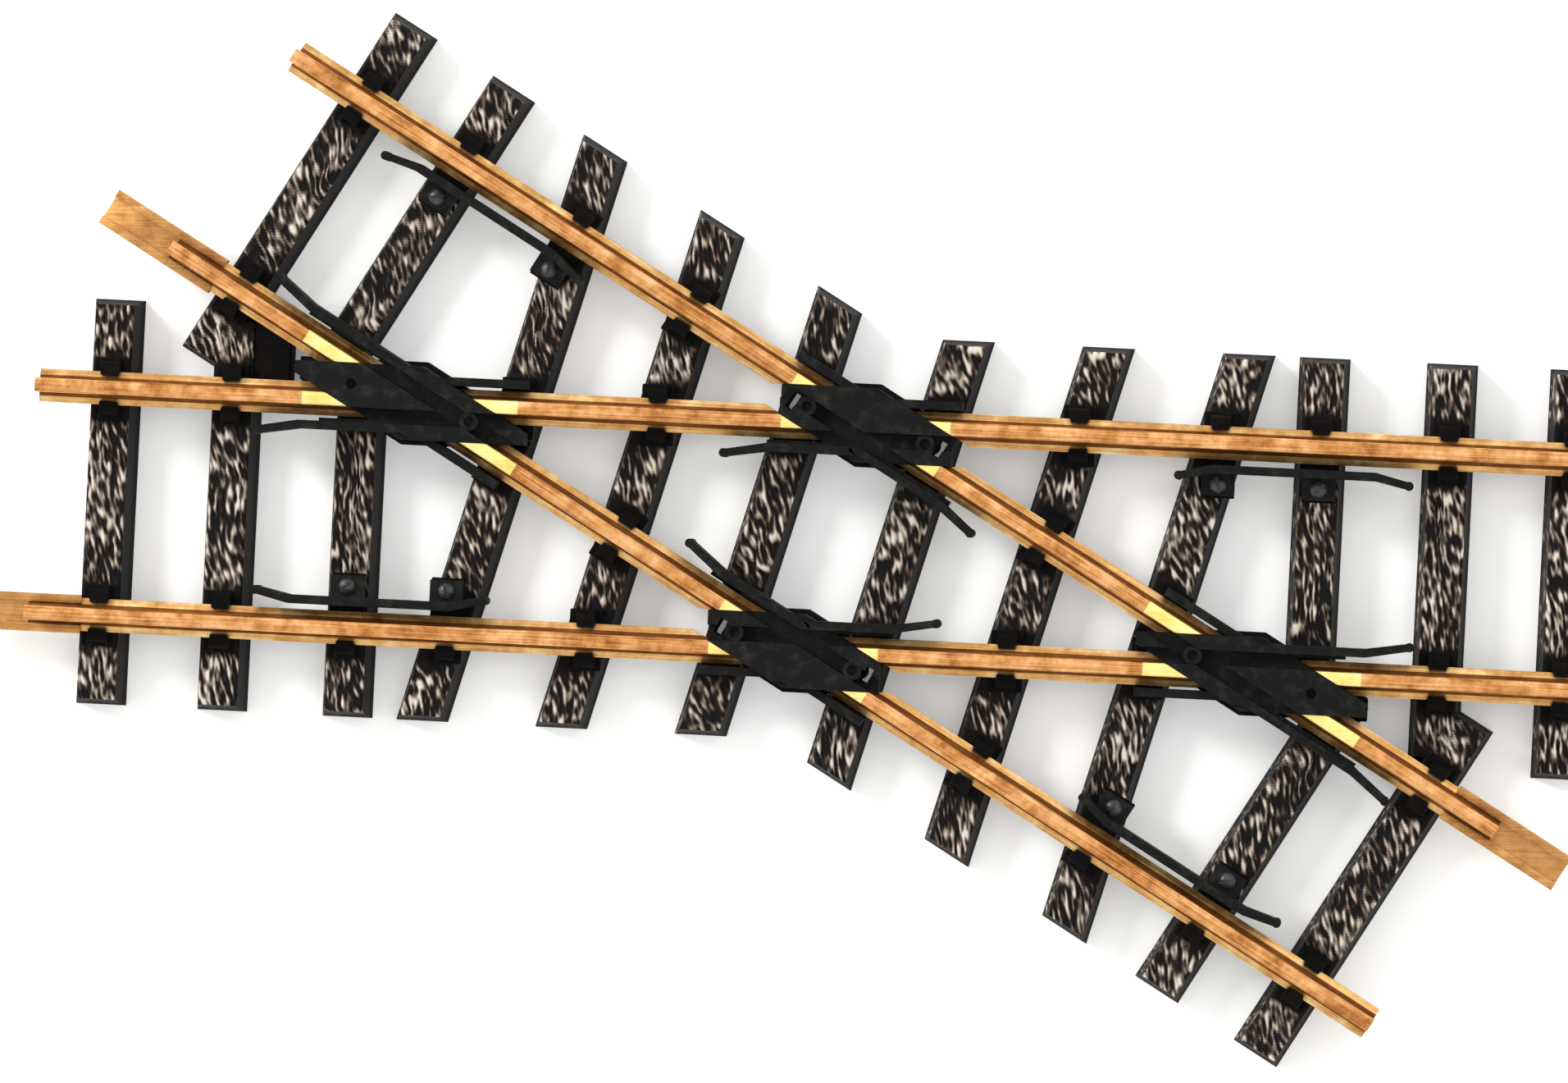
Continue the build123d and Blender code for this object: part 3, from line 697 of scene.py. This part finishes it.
def makeFrog(name, centre, halfLength, guards, walls, flangeSide, wallReach, webbed):
    core, height = track["coreHalf"], rail["height"]
    far = guardFace + frog["blade"]
    body = addSlab(name, rhombus(core, core), 0, height - frog["infillDrop"])
    for halfA, halfB in ((core, frog["bandHalf"]), (frog["bandHalf"], core)):
        combine(body, addSlab("band", rhombus(halfA, halfB), frog["bandLow"], height), "UNION")
    combine(body, addCube("clip", (2 * halfLength, 6 * core, 4 * height), (0, 0, height)), "INTERSECT")
    for line, way, reach, floorReach in guards:
        combine(body, addBlade("guard", line, way, guardFace, far, flangeSide[line], reach, height,
                               frog["flareOut"], frog["flareLength"]), "UNION")
        combine(body, addBlade("floor", line, way, frog["wallNear"], far - 0.1, flangeSide[line], floorReach,
                               height - track["flangeDepth"], 0), "UNION")
    for line, way in walls:
        near = frog["wallNear"]
        blade = addBlade("wall", line, way, near, near + frog["blade"], -flangeSide[line], wallReach,
                         height - frog["wallDrop"], 0)
        combine(body, blade, "UNION")
    for line, side in flangeSide.items():
        low, high = track["headHalf"], guardFace
        corners = [(-60, side * low), (60, side * low), (60, side * high), (-60, side * high)]
        groove = addSlab("groove", corners, height - track["flangeDepth"], height + 2)
        place(groove, Matrix.Rotation(-math.radians(trackAngle[line]), 4, "Z"))
        combine(body, groove, "DIFFERENCE")
    for way in (-1, 1):
        spot = heading(track["crossingAngle"] / 2) * way * frog["bossPlace"]
        bossTop = height - frog["infillDrop"] + frog["bossRise"]
        combine(body, addBoss(spot, height - frog["bossDepth"], bossTop, frog["bossRadius"]), "UNION")
        combine(body, addBoss(spot, height - frog["bossHoleDepth"], height + 1, frog["bossHole"]), "DIFFERENCE")
        if webbed:
            combine(body, addWebHole(way, -1, height + 1), "DIFFERENCE")
    tidyMesh(body)
    addBevel(body, frog["bevel"], 2, 40)
    place(body, Matrix.Translation(Vector((centre.x, centre.y, track["seat"])) * mm))
    smoothEdges(body, 30)
    return body


def addWebHole(way, low, high):
    # the small slot that leaves a thin web at the nose of an obtuse frog
    wide, long = frog["webHole"]
    slot = addCube("slot", (wide, long, high - low), (0, 0, (low + high) / 2))
    x, y = frog["webHolePlace"]
    turn = Matrix.Rotation(-math.radians(track["crossingAngle"]), 4, "Z")
    place(slot, Matrix.Translation(Vector((-way * x, -way * y, 0)) * mm) @ turn)
    return slot


acuteFrog = makeFrog("frog_acute_left_nylon", acuteCentre, frog["acuteHalf"],
                     frog["acuteGuards"], [("a", 1), ("b", 1)], {"a": -1, "b": 1}, frog["acuteWall"], False)
obtuseFrog = makeFrog("frog_obtuse_upper_nylon", obtuseCentre, frog["obtuseHalf"],
                      frog["obtuseGuards"], [("a", 1), ("b", -1)], {"a": -1, "b": -1}, frog["obtuseWall"], True)
finishPiece(halfTurn(acuteFrog, "frog_acute_right_nylon"), "frog_acute_right", frogPlastic)
finishPiece(halfTurn(obtuseFrog, "frog_obtuse_lower_nylon"), "frog_obtuse_lower", frogPlastic)
finishPiece(acuteFrog, "frog_acute_left", frogPlastic)
finishPiece(obtuseFrog, "frog_obtuse_upper", frogPlastic)


def cutWebHoles(piece):
    # the slots of the obtuse frogs go right through the bed
    for centre in (obtuseCentre, -obtuseCentre):
        for way in (-1, 1):
            slot = addWebHole(way, -1, track["seat"] + 1)
            place(slot, Matrix.Translation(centre * mm))
            combine(piece, slot, "DIFFERENCE")


for side in ("left", "right"):
    cutWebHoles(bpy.data.objects["tie_" + side + "_cross_inner"])
say("frogs ready")

check = {"half": 25.0, "flareLength": 8.0, "lugLength": 7.0, "lugWidth": 4.6, "lugHeight": 3.0,
         "centre": {"a": 96.3, "b": -98.0}, 
         "lugs": {"a": (tiesA["inner"], crossTieAt(3, "a")), "b": (-tiesB["inner"], crossTieAt(-3, "b"))}}


def makeCheckRail(name, line):
    far = guardFace + frog["blade"]
    body = addBlade(name, "a", 1, guardFace, far, -1, check["half"], rail["height"], frog["flareOut"],
                    check["flareLength"])
    combine(body, addBlade("other_half", "a", -1, guardFace, far, -1, check["half"], rail["height"],
                           frog["flareOut"], check["flareLength"]), "UNION")
    for lug in check["lugs"][line]:
        spot = lug - check["centre"][line]
        y = -(far + check["lugWidth"] / 2)
        block = addCube("lug", (check["lugLength"], check["lugWidth"] + 0.4, check["lugHeight"]),
                        (spot, y + 0.2, check["lugHeight"] / 2))
        combine(body, block, "UNION")
    tidyMesh(body)
    addBevel(body, 0.3, 2, 40)
    place(body, planMatrix(line, check["centre"][line], track["railOffset"], track["seat"]))
    smoothEdges(body, 30)
    return body


for line, side, twinSide in (("a", "right", "left"), ("b", "left", "right")):
    piece = makeCheckRail("check_rail_" + line + "_" + side + "_nylon", line)
    twin = halfTurn(piece, "check_rail_" + line + "_" + twinSide + "_nylon")
    finishPiece(piece, "check_rail_" + line + "_" + side, frogPlastic)
    finishPiece(twin, "check_rail_" + line + "_" + twinSide, frogPlastic)
say("check rails ready")

# ---- rail joiners
joiner = {"inside": 11.2, "outside": 16.4, "sheet": 0.5, "lip": 2.3, "rise": 1.25, "fit": 0.05}


def makeJoiner(name, line):
    length = joiner["inside"] + joiner["outside"]
    half = track["footHalf"] + joiner["fit"]
    middle = track["halfLength"][line] - joiner["inside"] + length / 2
    low = -joiner["fit"] - joiner["sheet"]
    # the folded section is a base with a wall and a lip on each side
    body = addCube(name, (length, 2 * (half + joiner["sheet"]), joiner["sheet"]),
                   (middle, 0, low + joiner["sheet"] / 2))
    top = joiner["rise"] + joiner["sheet"]
    for side in (-1, 1):
        wall = addCube("fold", (length, joiner["sheet"], top - low),
                       (middle, side * (half + joiner["sheet"] / 2), (top + low) / 2))
        combine(body, wall, "UNION")
        lipWidth = half + joiner["sheet"] - joiner["lip"]
        lip = addCube("lip", (length, lipWidth, joiner["sheet"]),
                      (middle, side * (joiner["lip"] + lipWidth / 2), joiner["rise"] + joiner["sheet"] / 2))
        combine(body, lip, "UNION")
    for end in (-1, 1):
        dimple = addBoss(Vector((middle + end * length * 0.28, 0, 0)), low - 1, low + 0.2, 0.9)
        combine(body, dimple, "DIFFERENCE")
    tidyMesh(body)
    addBevel(body, 0.18, 3, 40)
    place(body, planMatrix(line, 0, track["railOffset"], track["seat"]))
    smoothEdges(body, 40)
    return body


for line in ("a", "b"):
    piece = makeJoiner("joiner_" + line + "_right_sheet", line)
    twin = halfTurn(piece, "joiner_" + line + "_left_sheet")
    finishPiece(piece, "joiner_" + line + "_right", sheetBrass)
    finishPiece(twin, "joiner_" + line + "_left", sheetBrass)
say("joiners ready")

# ---- bed: chairs, pads, frog plates and the bars under the rails
bed = {"padLength": 7.0, "padWidth": 13.0,
       "chairLength": 5.0, "chairOut": 6.2, "chairIn": 2.8, "chairSlot": 1.2, "chairTop": 2.5,
       "tongueBite": 0.8, "tongueShare": 0.72,
       "barWidth": 3.4, "barLow": 1.0, "barHigh": 5.0, "plateLow": 5.0, "plateGrow": 1.0,
       "channelHalf": 1.8, "channelDepth": 3.2, "channelReach": 29.0, "spikeRadius": 0.85}


def makeChair():
    # a clip that reaches over the rail's foot, with a spike head beside it; rail along X, seat at zero
    near = track["footHalf"] + 0.05
    piece = addCube("chair", (bed["chairLength"], bed["chairOut"] - near, bed["chairTop"] + 1.5),
                    (0, (bed["chairOut"] + near) / 2, (bed["chairTop"] - 1.5) / 2))
    editMode(piece)
    pick(piece, "FACE", lambda face: face.normal.z > 0.9)
    bpy.ops.transform.translate(value=(0, -0.45 * mm, 0))
    bpy.ops.transform.resize(value=(0.8, 0.66, 1))
    objectMode()
    outerEnd, tongueRise = near + bed["tongueBite"], bed["chairTop"] - bed["chairSlot"]
    tongue = addCube("tongue", (bed["chairLength"] * bed["tongueShare"], outerEnd - bed["chairIn"], tongueRise),
                     (0, (outerEnd + bed["chairIn"]) / 2, bed["chairSlot"] + tongueRise / 2))
    combine(piece, tongue, "UNION")
    tidyMesh(piece)
    addBevel(piece, 0.25, 2, 35)
    deselectAll()
    bpy.ops.mesh.primitive_uv_sphere_add(segments=16, ring_count=8, radius=bed["spikeRadius"] * mm,
                                         location=(1.6 * mm, (bed["chairOut"] - 0.5) * mm, 0.35 * mm))
    spike = bpy.context.object
    spike.scale = (1, 1, 0.8)
    settle(spike)
    piece = joinAll([piece, spike], "chair")
    smoothEdges(piece, 35)
    return piece


both, outer = (-1, 1), (1,)
chairPlaces = {
    "a": [(-tiesA["outer"], both), (-tiesA["middle"], both), (crossTieAt(-2, "a"), both),
          (crossTieAt(2, "a"), both), (crossTieAt(3, "a"), outer), (tiesA["inner"], outer),
          (tiesA["middle"], both), (tiesA["outer"], both)],
    "b": [(-tiesB["outer"], both), (-tiesB["inner"], outer), (crossTieAt(-3, "b"), outer),
          (crossTieAt(-2, "b"), both), (crossTieAt(2, "b"), both), (tiesB["outer"], both)],
}
barePads = {
    "a": [crossTieAt(-3, "a"), crossTieAt(-1, "a"), crossTieAt(1, "a")],
    "b": [crossTieAt(-1, "b"), crossTieAt(1, "b"), crossTieAt(3, "b"), tiesB["inner"]],
}
chair = makeChair()
padBlank = addCube("pad", (bed["padLength"], bed["padWidth"], 2.0), (0, 0, -1.0))
addBevel(padBlank, 0.25, 2)
chairs, pads = [], []
for line, spots in chairPlaces.items():
    for distance, sides in spots:
        matrix = planMatrix(line, distance, track["railOffset"], track["seat"])
        pads.append(copyOf(padBlank, "pad", matrix))
        for side in sides:
            facing = Matrix.Rotation(0 if side > 0 else math.pi, 4, "Z")
            chairs.append(copyOf(chair, "chair", matrix @ facing))
for line, spots in barePads.items():
    for distance in spots:
        pads.append(copyOf(padBlank, "pad", planMatrix(line, distance, track["railOffset"], track["seat"])))
lugOffset = track["railOffset"] - guardFace - frog["blade"] - check["lugWidth"] / 2
for line, spots in check["lugs"].items():
    for distance in spots:
        pad = copyOf(padBlank, "pad", planMatrix(line, distance, lugOffset, track["seat"])
                     @ Matrix.Scale((check["lugWidth"] + 1) / bed["padWidth"], 4, (0, 1, 0)))
        pads.append(pad)
for unused in (chair, padBlank):
    bpy.data.objects.remove(unused, do_unlink=True)
upperChairs = joinAll(chairs, "rail_chairs_upper")
upperPads = joinAll(pads, "rail_pads_upper")
cutWebHoles(upperPads)
finishPiece(halfTurn(upperChairs, "rail_chairs_lower"), "tie_bed", bedPlastic)
finishPiece(halfTurn(upperPads, "rail_pads_lower"), "tie_bed", bedPlastic)
finishPiece(upperChairs, "tie_bed", bedPlastic)
finishPiece(upperPads, "tie_bed", bedPlastic)


def makePlate(name, centre, halfLength, webbed):
    grown = track["coreHalf"] + bed["plateGrow"]
    piece = addSlab(name, rhombus(grown, grown), bed["plateLow"], track["seat"])
    combine(piece, addCube("clip", (2 * halfLength, 6 * grown, 60), (0, 0, 0)), "INTERSECT")
    for way in (-1, 1) if webbed else ():
        combine(piece, addWebHole(way, 0, track["seat"] + 1), "DIFFERENCE")
    for line in ("a", "b"):
        slot = addCube("slot", (2 * bed["channelReach"], 2 * bed["channelHalf"], bed["channelDepth"] + 1),
                       (0, 0, track["seat"] - bed["channelDepth"] / 2 + 0.5))
        place(slot, Matrix.Rotation(-math.radians(trackAngle[line]), 4, "Z"))
        combine(piece, slot, "DIFFERENCE")
    tidyMesh(piece)
    addBevel(piece, 0.3, 2, 40)
    place(piece, Matrix.Translation(centre * mm))
    smoothEdges(piece, 30)
    return piece


for name, centre, halfLength in (("acute", acuteCentre, frog["acuteHalf"]),
                                 ("obtuse", obtuseCentre, frog["obtuseHalf"])):
    plate = makePlate("frog_plate_" + name + "_upper", centre, halfLength, name == "obtuse")
    finishPiece(halfTurn(plate, "frog_plate_" + name + "_lower"), "tie_bed", bedPlastic)
    finishPiece(plate, "tie_bed", bedPlastic)
for line, reach in (("a", tiesA["outer"]), ("b", tiesB["outer"])):
    bar = addCube("web_bar_" + line + "_upper", (2 * reach, bed["barWidth"], bed["barHigh"] - bed["barLow"]),
                  (0, 0, (bed["barHigh"] + bed["barLow"]) / 2))
    addBevel(bar, 0.4, 2)
    place(bar, planMatrix(line, 0, track["railOffset"]))
    finishPiece(halfTurn(bar, "web_bar_" + line + "_lower"), "tie_bed", bedPlastic)
    finishPiece(bar, "tie_bed", bedPlastic)
# the plain block between the middle tie of track a and the b rail, on the left only
block = {"left": -124.45, "right": -116.3, "low": 27.3, "high": 41.0, "top": 8.0}
corner = addCube("tie_block_left",
                 (block["right"] - block["left"], block["high"] - block["low"], block["top"]),
                 ((block["left"] + block["right"]) / 2, (block["low"] + block["high"]) / 2, block["top"] / 2))
addBevel(corner, 0.4, 2)
finishPiece(corner, "tie_bed", bedPlastic)
say("bed ready")

# ---- slotted screws that hold the check rails
lugScrew = {"head": 1.8, "shank": 1.0, "shankLow": -4.0, "dome": 1.1, "slot": 0.5, "slotDepth": 0.7,
            "firstTurn": 0.7, "nextTurn": 1.1}


def makeLugScrew():
    # head down on the lug at zero height, a low dome with one driving slot
    deselectAll()
    bpy.ops.mesh.primitive_uv_sphere_add(segments=32, ring_count=16, radius=lugScrew["head"] * mm)
    piece = bpy.context.object
    piece.scale = (1, 1, lugScrew["dome"] / lugScrew["head"])
    settle(piece)
    cutAway(piece, Vector((0, 0, 0)), Vector((0, 0, 1)))
    combine(piece, addBoss(Vector((0, 0, 0)), lugScrew["shankLow"], 0.2, lugScrew["shank"]), "UNION")
    slot = addCube("slot", (5, lugScrew["slot"], 2), (0, 0, lugScrew["dome"] - lugScrew["slotDepth"] + 1))
    combine(piece, slot, "DIFFERENCE")
    tidyMesh(piece)
    addBevel(piece, 0.08, 2, 40)
    smoothEdges(piece, 35)
    return piece


lugScrewBlank = makeLugScrew()
lugScrews = []
for line, spots in check["lugs"].items():
    for turn, distance in enumerate(spots):
        matrix = planMatrix(line, distance, lugOffset, track["seat"] + check["lugHeight"])
        slotTurn = Matrix.Rotation(lugScrew["firstTurn"] + lugScrew["nextTurn"] * turn, 4, "Z")
        lugScrews.append(copyOf(lugScrewBlank, "lug_screw", matrix @ slotTurn))
bpy.data.objects.remove(lugScrewBlank, do_unlink=True)
upperScrews = joinAll(lugScrews, "check_rail_screws_upper")
finishPiece(halfTurn(upperScrews, "check_rail_screws_lower"), "check_rail_screws", screwSteel)
finishPiece(upperScrews, "check_rail_screws", screwSteel)
say("screws ready")

# ---- hidden pieces keep their solids and get their finish
for name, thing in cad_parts.items():
    material = None
    if name in ("frog_screws", "contact_strip_screws"):
        material = screwSteel
    elif name.startswith("contact_strip"):
        material = sheetBrass
    if material:
        thing.data.materials.clear()
        thing.data.materials.append(material)

# ---- floor, light and camera
studio = {"floor": "#F7F7F5", "floorGlow": 0.22, "world": "#FFFFFF", "worldStrength": 1.0}
deselectAll()
bpy.ops.mesh.primitive_plane_add(size=6, location=(0, 0, -0.0002))
floor = bpy.context.object
floor.name = "floor"
floorMaterial, tree = newMaterial("white_paper_matte")
shader = node(tree, "ShaderNodeBsdfPrincipled", {
    "Base Color": colour(studio["floor"]), "Roughness": 0.9, "Emission Color": colour(studio["floor"]),
    "Emission Strength": studio["floorGlow"]}).outputs["BSDF"]
node(tree, "ShaderNodeOutputMaterial", links={"Surface": shader})
floor.data.materials.append(floorMaterial)

world = bpy.data.worlds.new("studio")
world.use_nodes = True
world.node_tree.nodes["Background"].inputs["Color"].default_value = colour(studio["world"])
world.node_tree.nodes["Background"].inputs["Strength"].default_value = studio["worldStrength"]
bpy.context.scene.world = world
bpy.context.scene.view_settings.view_transform = "Standard"


def addLight(name, place, size, power):
    light = bpy.data.lights.new(name, "AREA")
    light.shape = "DISK"
    light.size = size
    light.energy = power
    lamp = bpy.data.objects.new(name, light)
    lamp.location = place
    lamp.rotation_euler = (-Vector(place)).to_track_quat("-Z", "Y").to_euler()
    bpy.context.scene.collection.objects.link(lamp)


addLight("key", (-1.5, 0.9, 1.3), 0.6, 26)
addLight("overhead", (0.9, 0.6, 2.0), 0.9, 4)

view = {"lens": 200.0, "width": 329.0, "lookAt": (-9.73, -1.19, 14.0), "roll": 2.86, "tilt": 3.8}
camera = bpy.data.cameras.new("camera")
camera.lens = view["lens"]
camera.sensor_width = 36.0
eye = bpy.data.objects.new("camera", camera)
distance = view["width"] * view["lens"] / 36.0 * mm
roll = Matrix.Rotation(math.radians(view["roll"]), 4, "Z")
tilt = Matrix.Rotation(math.radians(view["tilt"]), 4, "Y")
lookAt = Matrix.Translation(Vector(view["lookAt"]) * mm)
eye.matrix_world = lookAt @ roll @ tilt @ Matrix.Translation((0, 0, distance))
bpy.context.scene.collection.objects.link(eye)
bpy.context.scene.camera = eye
say("studio ready")
